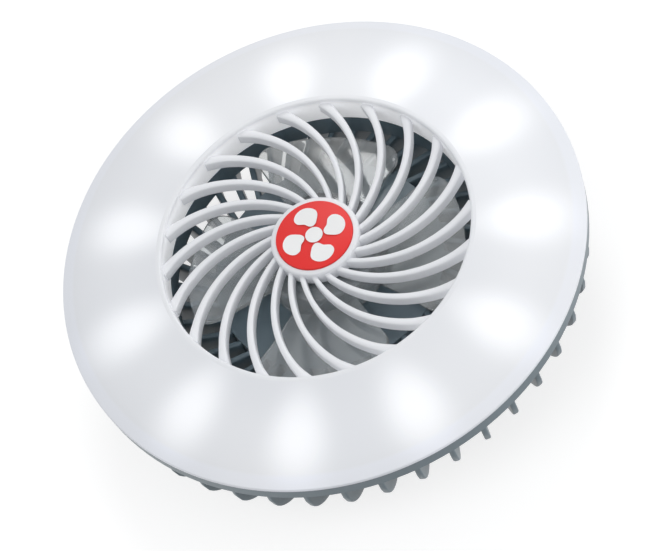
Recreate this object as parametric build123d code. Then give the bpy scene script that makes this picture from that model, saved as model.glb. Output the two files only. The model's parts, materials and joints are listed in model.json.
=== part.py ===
from build123d import *
import os
from math import cos, degrees, hypot, log, radians, sin, tan

# Portable camping fan with a ring lamp: a flat disc that lies on its back or hangs from a folding hook.
# Everything is drawn with height 0 in the plane of the lamp's outer rim, lamp face up, in millimetres.
# On export the whole object is raised so that its foot ring stands on height 0.

# ------------------------------------------------------------------ lamp ring and inlet
rim_radius = 100.0          # outer edge of the diffuser, the widest part of the fan
inlet_radius = 58.8         # mouth of the air duct, inside the white collar
crease_inset = 4.8          # from the rim to the crease where the diffuser turns down
crease_height = 3.6
skirt_height = 1.2          # upright edge of the diffuser at the rim
lip_height = 10.5           # top of the inlet lip
dome_bulge = 0.8            # how far the lamp face rises above a straight cone
diffuser_wall = 1.8
collar_wall = 2.2
collar_depth = 2.0          # how far the white collar reaches below the rim plane
seam_gap = 0.05
clip_count = 4              # snap hooks that hold the collar to the back shell
clip_half_width = 3.0
clip_thickness = 1.2
clip_top = 2.0
clip_bottom = -7.6
clip_barb = 0.8
clip_barb_height = 1.2
clip_play = 0.15
catch_wall = 1.4

# ------------------------------------------------------------------ front grille
rib_count = 22
rib_width = 2.2
rib_top = 8.6
rib_depth = 4.6
rib_root_angle = -84.0      # where one rib leaves the hub, seen from the front
rib_mid_radius = 37.0
rib_mid_angle = -56.2
rib_tip_angle = -33.7       # where the same rib meets the collar
grille_hub_radius = 16.8
grille_hub_top = 10.0
grille_hub_wall = 2.0
grille_hub_skin = 1.8
badge_radius = 14.6
badge_thickness = 1.2
badge_proud = 0.7
badge_gap = 0.15

# ------------------------------------------------------------------ lamp electronics
led_count = 11
led_angle = -87.3           # first lamp chip, seen from the front
led_circle = 77.0           # radius on which the chips sit
led_size = 5.0
led_height = 1.3
led_board_width = 14.0
led_board_thickness = 1.6
led_board_top = 0.0
lamp_rib_count = 6          # low walls on the dish that the board is bonded to
lamp_rib_half = 3.0
lamp_rib_width = 1.6

# ------------------------------------------------------------------ back shell
band_inset = 0.1            # the dark band stands this far inside the white rim
band_height = 5.2
band_draft = 0.3
shell_wall = 2.0
dish_depth = 12.0           # lowest point of the shell's dished back, at the duct
duct_wall = 2.0
band_wall = 2.4
hub_wall = 2.5              # side wall of the battery housing
hub_face = -12.0            # front face of the battery housing, under the rotor
fin_count = 44
fin_width = 2.3
fin_bottom = -26.0
fin_tip_inset = 2.0         # from the rim to the fins' outer ends
fin_tip_angle = -85.4       # outer end of the first fin, seen from the front
fin_lean = 23.0             # degrees between a fin and the radius
fin_corner = 14.0           # radius of the round outer corner of each fin
fin_gap = 0.1               # seam between the dish and the flat top of a fin
fin_end_gap = 0.03
boss_radius = 2.8
boss_gap = 0.05             # from the cells' end strips to the nearest screw post

# ------------------------------------------------------------------ motor
motor_radius = 12.2
motor_length = 12.3
motor_front = -2.0          # front face of the motor can
can_wall = 0.8
motor_nose = 1.4
motor_nose_play = 0.3
shaft_radius = 1.0
shaft_top = 3.4
shaft_play = 0.04
bush_radius = 1.9
end_cap_lip = 1.0
magnet_wall = 2.1
magnet_inset = 1.6
armature_gap = 0.5
armature_slots = 3
armature_slot_width = 2.4
mount_skin = 1.6
mount_wall = 1.8
mount_play = 0.05
terminal_offset = 7.0
terminal_width = 2.4
terminal_length = 1.8
terminal_thickness = 0.4

# ------------------------------------------------------------------ rotor
blade_count = 4
blade_tip = 53.0
blade_thickness = 1.6
blade_middle = -4.9         # mean height of a blade's two edges, in the middle of its thickness
blade_rise = 5.5            # from there up to the straight edge's tip, and down to the swept edge
blade_hollow = 2.5          # how far a blade sags below a flat plate, hollow side to the front
blade_angle = -82.0         # high, straight edge of the first blade, seen from the front
blade_sweep = 64.0          # degrees that a blade spans at its root
blade_tip_sweep = 68.0      # and near its tip
blade_corner = 7.5          # rounding of the straight edge's outer corner
blade_nose = 10.0           # rounding of the swept edge's outer corner
rotor_hub_radius = 23.5
rotor_hub_wall = 1.5
rotor_hub_skin = 1.4
rotor_hub_top = 2.3
rotor_hub_bottom = -10.4
rotor_boss_radius = 3.2
rotor_boss_bottom = -0.3

# ------------------------------------------------------------------ batteries
cell_radius = 9.2
cell_length = 65.0
cell_spacing = 18.8
cell_clearance = 0.7        # between the motor and the cells
cell_room = 4.05            # between the cells' corners and the side wall of their housing
cell_play = 0.15
tab_width = 7.0
tab_thickness = 0.25
saddle_offset = 20.0        # from the middle to each saddle of the battery housing
saddle_width = 2.4
saddle_depth = 7.0
pad_thickness = 2.2         # foam pad between the cells and the recess of the hook
pad_width = 26.0
pad_length = 30.0
pad_play = 0.02

# ------------------------------------------------------------------ rear cover
cover_skin = 2.0
cover_edge = 0.6            # upright edge of the cover, above its sloping rim
recess_depth = 6.0
recess_wall = 1.6
cover_screw_angles = (45.0, 135.0, 270.0)
foot_inset = 2.0            # from the housing's side to the cover's rim, which the fan stands on
foot_width = 3.4
foot_proud = 1.5

# ------------------------------------------------------------------ hanging hook
hook_width = 23.6
hook_length = 29.0
hook_thickness = 4.4
hook_bar = 4.6
hook_gap = 6.0              # mouth of the hook
hook_tip_rise = 9.0         # from the hinge line to the middle of the mouth
hook_play = 0.45
hook_barrel = 2.5
pin_radius = 1.2
pin_play = 0.05
pin_grip = 0.8              # how deep each end of the pin sits in the recess wall
recess_end = 2.0            # finger room past the hook's end
recess_corner = 8.0
hinge_room = 1.2            # between the hook's barrel and the end of the recess

# ------------------------------------------------------------------ control board and buttons
board_width = 11.7          # between the board's straight edges
board_edge_room = 1.2       # from the housing's side wall to the board's round corners
board_play = 0.3            # between the board and the port boss
board_half_length = 19.6
board_thickness = 1.6
board_lift = 0.4            # from the cells' lowest line up to the board's top
switch_size = 6.0
switch_height = 3.5
switch_inset = 4.5          # from the board's inner edge to the middle of a switch
switch_spread = 11.5        # from the port's middle to each switch
plunger_radius = 1.7
plunger_height = 0.8
plunger_play = 0.08
button_radius = 5.0
button_play = 0.25
button_flange = 0.9
button_flange_height = 1.0
button_proud = 0.8
button_stem = 2.4
board_post_size = 2.4
board_post_inset = 8.5      # from the board's inner edge
board_post_end = 1.4        # from the end of the board
chip_size = 5.0
chip_height = 1.2
coil_radius = 2.8
coil_height = 2.6

# ------------------------------------------------------------------ charging port
port_width = 9.0
port_height = 3.2
port_depth = 7.2
port_skin = 0.3
port_mouth_play = 0.4
flap_width = 15.0
flap_height = 7.6
flap_thickness = 1.2
flap_play = 0.3
flap_tongue = 0.8
pocket_depth = 1.5
strap_foot = 1.3            # width of the flap's fixed end, at the bend line
port_boss_wall = 1.6
port_boss_depth = 3.0
pocket_room = 1.2           # past the flap's fixed end
anchor_swell = 0.25         # how much thicker the flap's plug is than its fixed end

# ------------------------------------------------------------------ screws
screw_radius = 1.25
screw_pilot = 1.05
screw_hole_play = 0.2
screw_head_radius = 2.4
screw_head_height = 1.3
screw_length = 9.0          # over all, with the countersunk head
pilot_extra = 0.8

# ------------------------------------------------------------------ sizes that follow
crease_radius = rim_radius - crease_inset
collar_outer = inlet_radius + collar_wall
diffuser_inner = collar_outer + seam_gap
duct_outer = inlet_radius + duct_wall
band_radius = rim_radius - band_inset
fin_tip = rim_radius - fin_tip_inset
led_pitch = 360.0 / led_count
hub_bore = hypot(cell_spacing / 2 + cell_radius, cell_length / 2) + cell_room
hub_radius = hub_bore + hub_wall
foot_outer = hub_radius - foot_inset
hub_ceiling = hub_face - shell_wall
mount_top = motor_front + mount_skin
mount_radius = motor_radius + mount_play
motor_rear = motor_front - motor_length
cell_height = motor_rear - cell_clearance - cell_radius
cell_bottom = cell_height - cell_radius
recess_roof = cell_bottom - pad_thickness
cover_face = recess_roof - recess_wall - recess_depth
cover_inner = cover_face + cover_skin
foot_bottom = cover_face - foot_proud
hook_height = cover_face + recess_depth / 2
recess_half = hook_width / 2 + hook_play
recess_far = hook_length + recess_end
recess_near = -hook_barrel - hinge_room
board_top = cell_bottom + board_lift
board_bottom = board_top - board_thickness
port_middle = board_top + port_height / 2
port_mouth = hub_bore - seam_gap
board_outer = hub_bore - board_edge_room
board_edge = hub_bore - port_boss_depth - board_play
board_inner = board_edge - board_width
cover_screw_circle = cell_length / 2 + tab_thickness + boss_gap + boss_radius
switch_bottom = board_bottom - switch_height
plunger_bottom = switch_bottom - plunger_height


def polar(radius, angle):
    """A point of the plan at a radius and an angle in degrees."""
    return (radius * cos(radians(angle)), radius * sin(radians(angle)))


def turned(*edges):
    """A solid of revolution about the fan's axis; the edges' points are (radius, height)."""
    return revolve(Plane.XZ * make_face(list(edges)), Axis.Z)


def turned_outline(*points):
    return turned(Polyline(*points, close=True))


def disc(radius, bottom, top, bore=0.0, at=(0, 0)):
    """An upright cylinder, or a tube where it has a bore, from one height to another."""
    plan = Circle(radius)
    if bore > 0:
        plan -= Circle(bore)
    return Pos(at[0], at[1], bottom) * extrude(plan, top - bottom)


def block(x, y, z):
    """A box between two values on each axis."""
    size = (x[1] - x[0], y[1] - y[0], z[1] - z[0])
    return Pos((x[0] + x[1]) / 2, (y[0] + y[1]) / 2, (z[0] + z[1]) / 2) * Box(*size)


def around(part, count, first=0.0):
    """Copies of a part, evenly spaced about the fan's axis."""
    return [Rot(0, 0, first + step * 360.0 / count) * part for step in range(count)]


def countersunk(play=0.0):
    """A screw's solid, head down on height 0 and shank up; with some play it cuts the screw's hole."""
    head = screw_head_radius + play
    shank = screw_radius + play
    return turned_outline((0, 0), (head, 0), (shank, screw_head_height), (shank, screw_length),
                          (0, screw_length))


# ------------------------------------------------------------------ places shared by several pieces
def fin_offset(radius):
    """Degrees by which a fin has turned at a radius, counted from its outer end."""
    return degrees(tan(radians(fin_lean))) * log(fin_tip / radius)


def led_places():
    return [led_angle + k * led_pitch for k in range(led_count)]


def cover_screw_places():
    return [polar(cover_screw_circle, angle) for angle in cover_screw_angles]


def button_places():
    x = board_inner + switch_inset
    return {"fan": (x, switch_spread), "light": (x, -switch_spread)}


def board_post_places():
    x = board_inner + board_post_inset
    y = board_half_length - board_post_end
    return [(x, y), (x, -y)]


def cell_places():
    return [-cell_spacing / 2, cell_spacing / 2]


def dish_inner(radius):
    """Height of the shell's dished floor, lamp side, at a radius."""
    share = (radius - duct_outer) / (band_radius - band_wall - duct_outer)
    low = -dish_depth + shell_wall
    high = -band_height + shell_wall
    return low + share * (high - low)


def dish_slope():
    """Rise of the shell's dished back for each millimetre outwards."""
    return (dish_depth - band_height) / (band_radius - band_draft - duct_outer)


# ------------------------------------------------------------------ white front
def make_diffuser_ring():
    """The milky lamp cover: a domed ring with a skirt at the rim, closed against the collar."""
    top = lip_height - 0.1
    skirt_inner = rim_radius - diffuser_wall
    crown_radius = (crease_radius + diffuser_inner) / 2
    crown_height = (crease_height + top) / 2 + dome_bulge
    return turned_outline(
        (skirt_inner, 0), (rim_radius, 0), (rim_radius, skirt_height), (crease_radius, crease_height),
        (crown_radius, crown_height), (diffuser_inner, top), (diffuser_inner, top - 2 * diffuser_wall),
        (crease_radius - 0.4, crease_height - diffuser_wall),
    )


def make_rib():
    root = grille_hub_radius - grille_hub_wall / 2
    tip = inlet_radius + collar_wall / 3
    line = ThreePointArc(polar(root, rib_root_angle), polar(rib_mid_radius, rib_mid_angle),
                         polar(tip, rib_tip_angle))
    return Pos(0, 0, rib_top - rib_depth) * extrude(trace(line, rib_width), rib_depth)


def make_clip():
    """A snap hook on the collar, for a catch of the shell that stands across the X axis."""
    inner = collar_outer + seam_gap
    outer = collar_outer + clip_thickness
    width = (-clip_half_width, clip_half_width)
    root = block((collar_outer - 0.3, outer), width, (-collar_depth, clip_top))
    tongue = block((inner, outer), width, (clip_bottom, clip_top))
    barb_top = clip_bottom + clip_barb_height
    return root + tongue + block((inner, outer + clip_barb), width, (clip_bottom, barb_top))


def make_front_grille():
    """The white front: inlet collar with its snap hooks, swirling ribs and the hub."""
    bottom = rib_top - rib_depth
    lip = collar_wall * 0.45
    collar = turned_outline(
        (inlet_radius, -collar_depth), (inlet_radius, lip_height - lip), (inlet_radius + lip, lip_height),
        (collar_outer, lip_height - 0.1), (collar_outer, -collar_depth),
    )
    hub = disc(grille_hub_radius, bottom, grille_hub_top)
    hub = chamfer(hub.edges().sort_by(Axis.Z)[-1], 0.8)
    grille = collar + [hub] + around(make_rib(), rib_count)
    grille += around(make_clip(), clip_count, first=360.0 / clip_count / 2)
    seat = grille_hub_top + badge_proud - badge_thickness
    grille -= disc(badge_radius + badge_gap, seat, grille_hub_top + 1)
    grille -= disc(grille_hub_radius - grille_hub_wall, bottom - 1, seat - grille_hub_skin)
    return grille


def make_hub_badge():
    top = grille_hub_top + badge_proud
    return disc(badge_radius, top - badge_thickness, top)


# ------------------------------------------------------------------ lamp
def make_led_board():
    half = led_board_width / 2
    bottom = led_board_top - led_board_thickness
    return disc(led_circle + half, bottom, led_board_top, bore=led_circle - half)


def make_leds():
    chip = Pos(led_circle, 0, led_board_top + led_height / 2) * Box(led_size, led_size, led_height)
    return Part() + [Rot(0, 0, angle) * chip for angle in led_places()]


# ------------------------------------------------------------------ back shell
def fin_point(radius):
    """A point of the first fin's middle line in plan."""
    return polar(radius, fin_tip_angle + fin_offset(radius))


def fin_plate(start, end, *profile):
    """An upright plate over a line of the plan; the profile's edges run along it and up."""
    along = Vector(end[0] - start[0], end[1] - start[1], 0)
    plane = Plane(origin=(start[0], start[1], 0), x_dir=along, z_dir=along.cross(Vector(0, 0, 1)))
    return extrude(plane * make_face(list(profile)), fin_width / 2, both=True)


def make_fin_roof(start, end):
    """What lies above the outer stretch of a fin: a slab on a plane that follows the dish."""
    low = Vector(start[0], start[1], -dish_depth - fin_gap)
    high = Vector(end[0], end[1], low.Z + (hypot(*end) - hypot(*start)) * dish_slope())
    along = high - low
    outward = Vector(low.X + high.X, low.Y + high.Y, 0).normalized()
    level = Vector(-along.Y, along.X, 0).normalized()
    across = level + Vector(0, 0, dish_slope() * level.dot(outward))
    plane = Plane(origin=low, x_dir=along, z_dir=along.cross(across))
    size = 4 * dish_depth
    return plane * (Pos(0, 0, size / 2) * Box(3 * along.length, size, size))


def make_back_fins():
    """All fins: leaning blades under the dish, which carry on across the air vent to the hub."""
    inner, bend, tip = [fin_point(radius) for radius in (hub_radius - hub_wall / 2, duct_outer, fin_tip)]
    lap = fin_width / 4
    across_vent = hypot(bend[0] - inner[0], bend[1] - inner[1]) + lap
    top = -dish_depth - fin_gap
    stub = fin_plate(inner, bend, Polyline((0, top), (across_vent, top), (across_vent, fin_bottom),
                                           (0, fin_bottom), close=True))
    length = hypot(tip[0] - bend[0], tip[1] - bend[1])
    belly = (length - fin_corner, fin_bottom)
    shoulder = (length, fin_bottom + fin_corner)
    diagonal = fin_corner * (1 - cos(radians(45)))
    wing = fin_plate(
        bend, tip, Polyline(belly, (-lap, fin_bottom), (-lap, 0), (length, 0), shoulder),
        ThreePointArc(shoulder, (length - diagonal, fin_bottom + diagonal), belly),
    )
    fin = stub + (wing - make_fin_roof(bend, tip))
    fin -= disc(hub_radius + fin_end_gap, fin_bottom - 1, 0)
    return Part() + around(fin, fin_count)


def make_shell_dish():
    """The dark band, the dished back and the duct wall, as one turned wall."""
    inner = band_radius - band_wall
    return turned_outline(
        (band_radius, 0), (band_radius - band_draft, -band_height), (duct_outer, -dish_depth),
        (inlet_radius, -dish_depth), (inlet_radius, -collar_depth), (duct_outer, -collar_depth),
        (duct_outer, -dish_depth + shell_wall), (inner, -band_height + shell_wall), (inner, 0),
    )


def make_hub_walls():
    """The battery housing's front wall and side wall, and the turret that holds the motor."""
    hub = disc(hub_radius, cover_inner, hub_face) - disc(hub_bore, cover_inner - 1, hub_ceiling)
    turret = disc(mount_radius + mount_wall, hub_ceiling, mount_top)
    hub = hub + turret - disc(mount_radius, hub_ceiling - 1, motor_front)
    return hub - disc(bush_radius + motor_nose_play, motor_front - 1, mount_top + 1)


def make_saddles():
    """Two cross walls in the housing, hollowed to carry the cells."""
    reach = cell_spacing / 2 + cell_radius
    bed = cell_radius + cell_play
    saddles = []
    for side in (-1, 1):
        y = side * saddle_offset
        wall = block((-reach, reach), (y - saddle_width / 2, y + saddle_width / 2),
                     (hub_ceiling - saddle_depth, hub_ceiling + 0.5))
        for x in cell_places():
            wall -= Pos(x, y, cell_height) * Rot(90, 0, 0) * Cylinder(bed, 2 * saddle_width)
        saddles.append(wall)
    return saddles


def make_housing_bosses():
    """Posts inside the housing for the screws of the rear cover."""
    return [disc(boss_radius, cover_inner, hub_ceiling + 0.5, at=place) for place in cover_screw_places()]


def pocket_face():
    """Distance from the axis of the flat pocket that the port's flap lies in."""
    return hub_radius - pocket_depth


def anchor_radius():
    return strap_foot / 2 + anchor_swell


def make_port_cut():
    """The flap's pocket, the mouth of the socket and the hole for the flap's plug."""
    half_height = flap_height / 2 + flap_play
    fixed_end = flap_width / 2 + strap_foot
    free_end = flap_width / 2
    pocket = block((pocket_face(), hub_radius + 1), (-fixed_end - pocket_room, free_end + 2 * flap_play),
                   (port_middle - half_height, port_middle + half_height))
    mouth_y = port_width / 2 + port_mouth_play
    mouth_z = port_height / 2 + port_mouth_play
    start = hub_bore - 2 * port_boss_depth
    mouth = block((start, hub_radius), (-mouth_y, mouth_y), (port_middle - mouth_z, port_middle + mouth_z))
    plug_hole = Pos(start, strap_foot / 2 - fixed_end, port_middle) * Rot(0, 90, 0) * \
        extrude(Circle(anchor_radius()), hub_radius - start)
    return [pocket, mouth, plug_hole]


def make_port_boss():
    """A thicker stretch of the side wall behind the flap's pocket."""
    half = flap_height / 2 + port_boss_wall
    side = flap_width / 2 + strap_foot + pocket_room + port_boss_wall
    span = (port_middle - half, port_middle + half)
    boss = block((hub_bore - port_boss_depth, hub_bore + hub_wall / 2), (-side, side), span)
    room = port_width / 2 + port_mouth_play
    boss -= block((hub_bore - 2 * port_boss_depth, hub_bore - seam_gap), (-room, room),
                  (span[0] - 1, span[1] + 1))
    return boss & disc(hub_bore + hub_wall / 4, cover_inner, hub_ceiling)


def make_lamp_ribs():
    """Low radial walls on the dish that carry the lamp board."""
    low = dish_inner(led_circle - lamp_rib_half) - 0.5
    rib = block((led_circle - lamp_rib_half, led_circle + lamp_rib_half),
                (-lamp_rib_width / 2, lamp_rib_width / 2), (low, led_board_top - led_board_thickness))
    return around(rib, lamp_rib_count)


def make_catches():
    """Hooked walls on the dish that the grille's clips snap under."""
    tongue = collar_outer + clip_thickness + clip_play
    wall = tongue + clip_barb
    half = clip_half_width + clip_play
    under = clip_bottom + clip_barb_height + clip_play
    catch = block((wall, wall + catch_wall), (-half, half), (dish_inner(wall) - 0.5, under + catch_wall))
    catch += block((tongue, wall + catch_wall), (-half, half), (under, under + catch_wall))
    return around(catch, clip_count, first=360.0 / clip_count / 2)


def make_back_shell():
    """The dark band with the dished back and the duct wall."""
    return make_shell_dish() + make_lamp_ribs() + make_catches()


def make_battery_housing():
    """The cup on the fins that holds the motor and, behind it, the cells and the controls."""
    housing = make_hub_walls() + make_saddles() + make_housing_bosses() + [make_port_boss()]
    for place in cover_screw_places():
        housing -= disc(screw_pilot, cover_inner - 1, cover_face + screw_length + pilot_extra, at=place)
    for cut in make_port_cut():
        housing -= cut
    return housing


# ------------------------------------------------------------------ motor
def make_motor_can():
    inner = motor_radius - can_wall
    top = motor_front - can_wall
    rear = motor_rear + end_cap_lip
    return turned_outline((bush_radius, top), (bush_radius, motor_front), (motor_radius, motor_front),
                          (motor_radius, rear), (inner, rear), (inner, top))


def make_motor_end_cap():
    """The motor's plastic end, which also carries the rear end of the shaft."""
    cap = disc(motor_radius, motor_rear, motor_rear + end_cap_lip, bore=shaft_radius + shaft_play)
    slot = Box(terminal_width, terminal_thickness, 4 * end_cap_lip)
    for side in (-1, 1):
        cap -= Pos(0, side * terminal_offset, motor_rear) * slot
    return cap


def make_motor_terminals():
    low = motor_rear - terminal_length
    high = motor_rear + end_cap_lip + 1.0
    tab = block((-terminal_width / 2, terminal_width / 2),
                (-terminal_thickness / 2, terminal_thickness / 2), (low, high))
    return Part() + [Pos(0, side * terminal_offset, 0) * tab for side in (-1, 1)]


def make_motor_bush():
    bore = shaft_radius + shaft_play
    return disc(bush_radius, motor_front - can_wall, motor_front + motor_nose, bore=bore)


def make_motor_magnet():
    outer = motor_radius - can_wall - 0.02
    return disc(outer, motor_rear + end_cap_lip + magnet_inset, motor_front - can_wall - 0.5,
                bore=outer - magnet_wall)


def make_motor_armature():
    radius = motor_radius - can_wall - 0.02 - magnet_wall - armature_gap
    low = motor_rear + end_cap_lip + magnet_inset + 0.6
    high = motor_front - can_wall - 1.1
    core = disc(radius, low, high, bore=shaft_radius)
    slot = Pos(radius * 0.72, 0, (low + high) / 2) * Box(radius * 0.72, armature_slot_width, high - low + 2)
    return core - around(slot, armature_slots)


def make_motor_shaft():
    return disc(shaft_radius, motor_rear + 0.2, shaft_top)


# ------------------------------------------------------------------ rotor
def blade_section():
    """A blade's hollow cross-section, square to its middle line, as wide as the blade's tip."""
    lean = radians(blade_tip_sweep / 2)
    half = blade_tip * sin(lean)
    lower = [(-half, -blade_rise), (0, -blade_hollow), (half, blade_rise)]
    upper = [(x, y + blade_thickness) for x, y in lower]
    sides = [Line(lower[2], upper[2]), Line(upper[0], lower[0])]
    return make_face([ThreePointArc(*lower), ThreePointArc(*upper)] + sides)


def blade_plan():
    """The blade's outline seen along the axis: straight edge, round tip and swept edge."""
    root = rotor_hub_radius - rotor_hub_wall
    straight = Line(polar(root, 0), polar(blade_tip, 0))
    tip = ThreePointArc(polar(blade_tip, 0), polar(blade_tip, -blade_tip_sweep / 2),
                        polar(blade_tip, -blade_tip_sweep))
    swept = ThreePointArc(polar(blade_tip, -blade_tip_sweep), polar((blade_tip + root) / 2, -blade_sweep),
                          polar(root, -blade_sweep))
    base = ThreePointArc(polar(root, -blade_sweep), polar(root, -blade_sweep / 2), polar(root, 0))
    outline = make_face([straight, tip, swept, base])
    corners = outline.vertices().sort_by(lambda v: -hypot(v.X, v.Y))[:2]
    straight_corner = max(corners, key=lambda v: v.Y)
    swept_corner = min(corners, key=lambda v: v.Y)
    outline = fillet(straight_corner, blade_corner)
    swept_corner = outline.vertices().sort_by_distance((swept_corner.X, swept_corner.Y, 0))[0]
    return fillet(swept_corner, blade_nose)


def make_blade():
    """A pitched, hollow plate along its middle line, cut to the blade's outline."""
    start = rotor_hub_radius / 2
    reach = 2 * (rotor_hub_top - rotor_hub_bottom)
    plane = Plane(origin=(start, 0, blade_middle - blade_thickness / 2), x_dir=(0, 1, 0), z_dir=(1, 0, 0))
    plate = extrude(plane * blade_section(), blade_tip - start + 1)
    outline = Pos(0, 0, -reach) * extrude(blade_plan(), 2 * reach)
    core = disc(rotor_hub_radius - rotor_hub_wall / 2, -reach, reach)
    return (Rot(0, 0, -blade_tip_sweep / 2) * plate & outline) - core


def make_rotor():
    under = rotor_hub_top - rotor_hub_skin
    inner = rotor_hub_radius - rotor_hub_wall
    hub = turned_outline(
        (shaft_radius, rotor_boss_bottom), (rotor_boss_radius, rotor_boss_bottom),
        (rotor_boss_radius, under), (inner, under), (inner, rotor_hub_bottom),
        (rotor_hub_radius, rotor_hub_bottom), (rotor_hub_radius, rotor_hub_top), (shaft_radius, rotor_hub_top),
    )
    return hub + around(make_blade(), blade_count, first=blade_angle)


# ------------------------------------------------------------------ batteries
def make_battery_cells():
    return Part() + [Pos(x, 0, cell_height) * Rot(90, 0, 0) * Cylinder(cell_radius, cell_length)
                     for x in cell_places()]


def make_cell_tabs():
    """Nickel strips welded across each end of the pair."""
    reach = cell_spacing / 2 + tab_width / 2
    strips = []
    for side in (-1, 1):
        y = side * (cell_length / 2 + tab_thickness / 2)
        strips.append(block((-reach, reach), (y - tab_thickness / 2, y + tab_thickness / 2),
                            (cell_height - tab_width / 2, cell_height + tab_width / 2)))
    return Part() + strips


def make_cell_pad():
    """A foam pad on the recess of the hook, which presses the cells into their saddles."""
    start = recess_near + recess_wall / 2
    return block((-pad_width / 2, pad_width / 2), (start, start + pad_length),
                 (recess_roof, cell_bottom - pad_play))


# ------------------------------------------------------------------ rear cover
def recess_plan(grow):
    """Outline of the hook's recess, grown all round by a wall."""
    width = 2 * (recess_half + grow)
    plan = Pos(0, (recess_far + recess_near) / 2) * Rectangle(width, recess_far - recess_near + 2 * grow)
    return fillet(plan.vertices().sort_by(Axis.Y)[-2:], recess_corner + grow)


def make_rear_cover():
    """The housing's lid, with its standing rim, the hook's recess and two posts for the board."""
    plate = turned_outline(
        (0, cover_inner), (hub_radius, cover_inner), (hub_radius, cover_inner - cover_edge),
        (foot_outer, foot_bottom), (foot_outer - foot_width, foot_bottom),
        (foot_outer - foot_width, cover_face), (0, cover_face),
    )
    tub = Pos(0, 0, cover_inner - 0.5) * extrude(recess_plan(recess_wall), recess_roof - cover_inner + 0.5)
    cover = plate + tub
    cover -= Pos(0, 0, cover_face - 1) * extrude(recess_plan(0), recess_depth + 1)
    pin_half = recess_half + pin_grip
    cover -= Pos(0, 0, hook_height) * Rot(0, 90, 0) * Cylinder(pin_radius, 2 * pin_half)
    half = board_post_size / 2
    for x, y in board_post_places():
        cover += block((x - half, x + half), (y - half, y + half), (cover_inner - 0.5, board_bottom))
    for x, y in cover_screw_places():
        cover -= Pos(x, y, cover_face) * countersunk(screw_hole_play)
    for place in button_places().values():
        cover -= disc(button_radius + button_play, cover_face - 1, cover_inner + 1, at=place)
    return cover


def make_cover_screws():
    low = cover_face + screw_hole_play
    return Part() + [Pos(x, y, low) * countersunk() for x, y in cover_screw_places()]


# ------------------------------------------------------------------ hook
def make_hanging_hook():
    half = hook_width / 2
    arc_centre = hook_length - half
    outer = Pos(0, arc_centre / 2) * Rectangle(hook_width, arc_centre) + Pos(0, arc_centre) * Circle(half)
    inner_half = half - hook_bar
    loop_start = hook_barrel + 1
    opening = Pos(0, (arc_centre + loop_start) / 2) * Rectangle(2 * inner_half, arc_centre - loop_start)
    opening += Pos(0, arc_centre) * Circle(inner_half)
    mouth = Pos(half, hook_tip_rise) * Rectangle(2 * hook_bar + 4, hook_gap)
    plan = outer - opening - mouth
    body = Pos(0, 0, hook_height - hook_thickness / 2) * extrude(plan, hook_thickness)
    barrel = Pos(0, 0, hook_height) * Rot(0, 90, 0) * Cylinder(hook_barrel, hook_width)
    body = body & block((-half, half), (0, hook_length), (hook_height - 5, hook_height + 5))
    hook = body + barrel
    return hook - Pos(0, 0, hook_height) * Rot(0, 90, 0) * Cylinder(pin_radius + pin_play, hook_width + 2)


def make_hook_pin():
    half = recess_half + pin_grip
    return Pos(0, 0, hook_height) * Rot(0, 90, 0) * Cylinder(pin_radius, 2 * half)


# ------------------------------------------------------------------ controls
def make_control_board():
    middle = (board_inner + board_edge) / 2
    plan = Circle(board_outer) & Pos(middle, 0) * Rectangle(board_width, 2 * board_half_length)
    return Pos(0, 0, board_bottom) * extrude(plan, board_thickness)


def make_board_parts():
    """The charger chip and the coil on the board."""
    chip_x = board_inner + chip_size / 2 + 0.8
    chip = Pos(chip_x, 5.2, board_top + chip_height / 2) * Box(chip_size, chip_size, chip_height)
    coil = disc(coil_radius, board_top, board_top + coil_height, at=(chip_x, -5.0))
    return Part() + [chip, coil]


def make_switch_bodies():
    hole = plunger_radius + plunger_play
    bodies = []
    for x, y in button_places().values():
        body = Pos(x, y, (switch_bottom + board_bottom) / 2) * Box(switch_size, switch_size, switch_height)
        hole_top = switch_bottom + 2 * plunger_height + 0.4
        bodies.append(body - disc(hole, switch_bottom - 1, hole_top, at=(x, y)))
    return Part() + bodies


def make_plunger(place):
    return disc(plunger_radius, plunger_bottom, switch_bottom + plunger_height, at=place)


def make_button(place):
    """A round cap with a flange that keeps it behind the cover, and a stem that reaches the switch."""
    low = cover_face - button_proud
    flange_bottom = cover_inner + 0.05
    flange_top = flange_bottom + button_flange_height
    flange_radius = button_radius + button_flange
    button = turned_outline(
        (0, low), (button_radius, low), (button_radius, flange_bottom),
        (flange_radius, flange_bottom), (flange_radius, flange_top), (button_stem, flange_top),
        (button_stem, plunger_bottom), (0, plunger_bottom),
    )
    return Pos(place[0], place[1], 0) * button


def make_usb_socket():
    shell = RectangleRounded(port_width, port_height, port_height / 2 - 0.05)
    bore = RectangleRounded(port_width - 2 * port_skin, port_height - 2 * port_skin,
                            port_height / 2 - port_skin - 0.05)
    plane = Plane(origin=(port_mouth - port_depth, 0, port_middle), x_dir=(0, 1, 0), z_dir=(1, 0, 0))
    body = extrude(plane * shell, port_depth)
    body -= extrude(Plane(origin=(port_mouth - port_depth + 1, 0, port_middle), x_dir=(0, 1, 0),
                          z_dir=(1, 0, 0)) * bore, port_depth)
    tongue = block((port_mouth - port_depth + 0.5, port_mouth - 1),
                   (-port_width / 2 + 1.2, port_width / 2 - 1.2), (port_middle - 0.35, port_middle + 0.35))
    return body + tongue


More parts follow.
